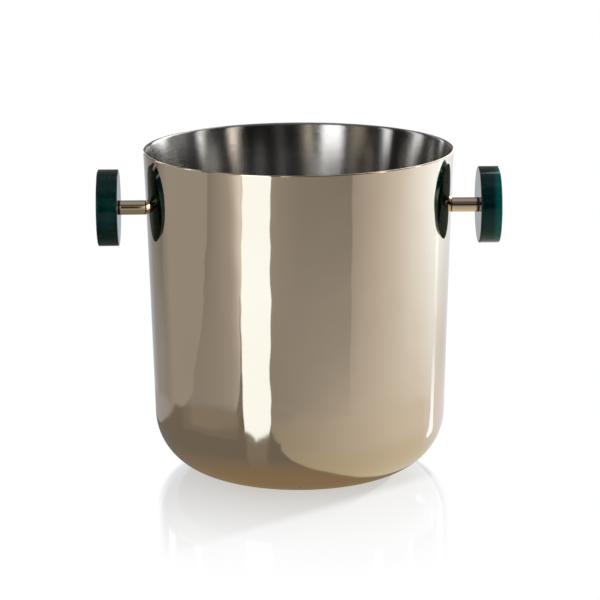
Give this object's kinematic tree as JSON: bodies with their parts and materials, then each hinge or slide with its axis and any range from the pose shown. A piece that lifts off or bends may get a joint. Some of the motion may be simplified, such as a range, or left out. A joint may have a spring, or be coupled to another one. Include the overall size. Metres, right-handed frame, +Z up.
{
  "type": "ice bucket",
  "caption": "Round double-walled steel ice bucket, gold outside and brushed inside, with a disc handle on a short post at each side.",
  "frame": {"origin": "centre of the base, on the surface that the bucket stands on", "axes": "+Z up along the bucket's axis, X through both handles, +X towards the right handle, Y from front to back"},
  "size_m": [0.2638, 0.2026, 0.214],
  "materials": {
    "gold_shell": "stainless steel with a pale champagne-gold coating, polished nearly to a mirror",
    "brushed_liner": "bare stainless steel, finely brushed round the bucket",
    "green_stone": "very dark green stone, faintly mottled, polished to a wet gloss",
    "insert_brass": "turned brass, hidden",
    "gasket_rubber": "matte black",
    "zinc_steel": "zinc-plated steel, hidden"
  },
  "bodies": {
    "root": {"outer_shell": "gold_shell", "inner_liner": "brushed_liner", "right_disc": "green_stone", "right_threaded_insert": "insert_brass", "right_disc_gasket": "gasket_rubber", "right_post": "gold_shell", "right_wall_gasket": "gasket_rubber", "right_washer": "zinc_steel", "right_screw": "zinc_steel", "left_disc": "green_stone", "left_threaded_insert": "insert_brass", "left_disc_gasket": "gasket_rubber", "left_post": "gold_shell", "left_wall_gasket": "gasket_rubber", "left_washer": "zinc_steel", "left_screw": "zinc_steel"}
  },
  "joints": []
}
